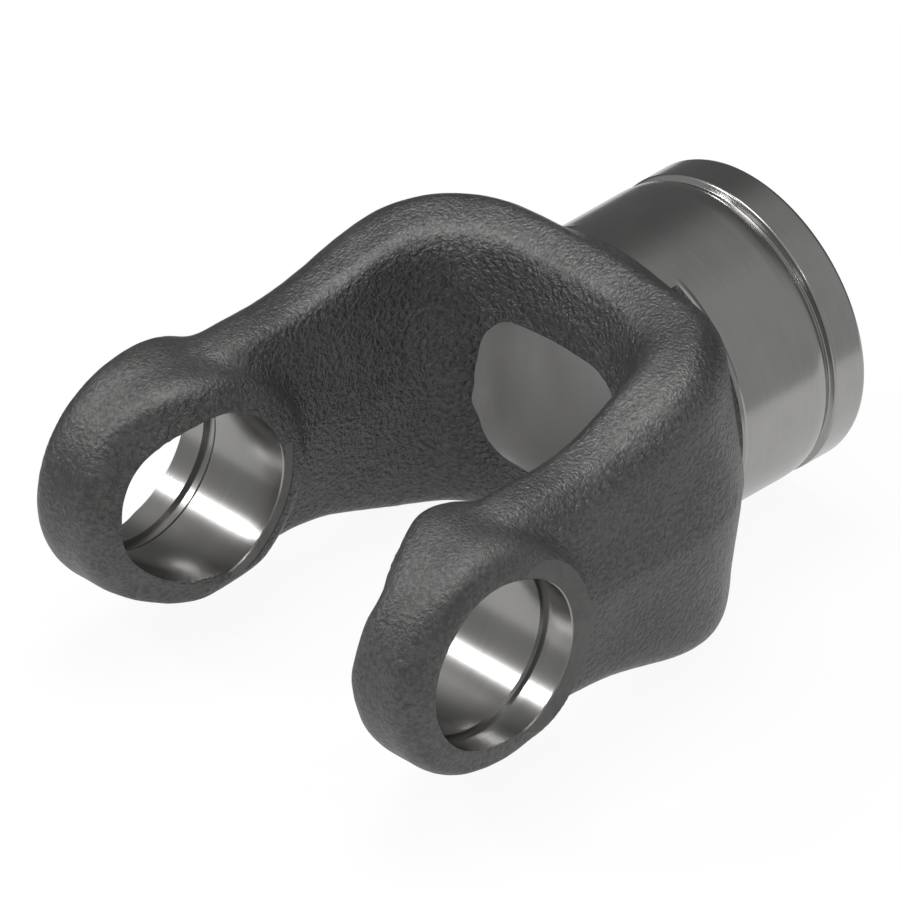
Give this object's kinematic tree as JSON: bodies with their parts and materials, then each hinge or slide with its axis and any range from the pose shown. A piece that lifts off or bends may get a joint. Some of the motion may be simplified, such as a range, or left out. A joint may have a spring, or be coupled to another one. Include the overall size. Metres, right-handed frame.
{
  "type": "universal joint yoke",
  "caption": "Forged steel fork yoke: two bored ears for a cross, a U-shaped drafted body and a turned, grooved tubular hub.",
  "frame": {"origin": "joint centre, where the cross-bore axis meets the hub axis", "axes": "+X along the cross bores, +Y along the hub axis from the joint centre to the hub end, +Z normal to the forging's parting plane"},
  "size_m": [0.0638, 0.0872, 0.0402],
  "materials": {
    "forged_steel": "dark shot-blasted forging skin, with ear faces, cross bores and hub machined bright"
  },
  "bodies": {
    "root": {"yoke_forging": "forged_steel"}
  },
  "joints": []
}
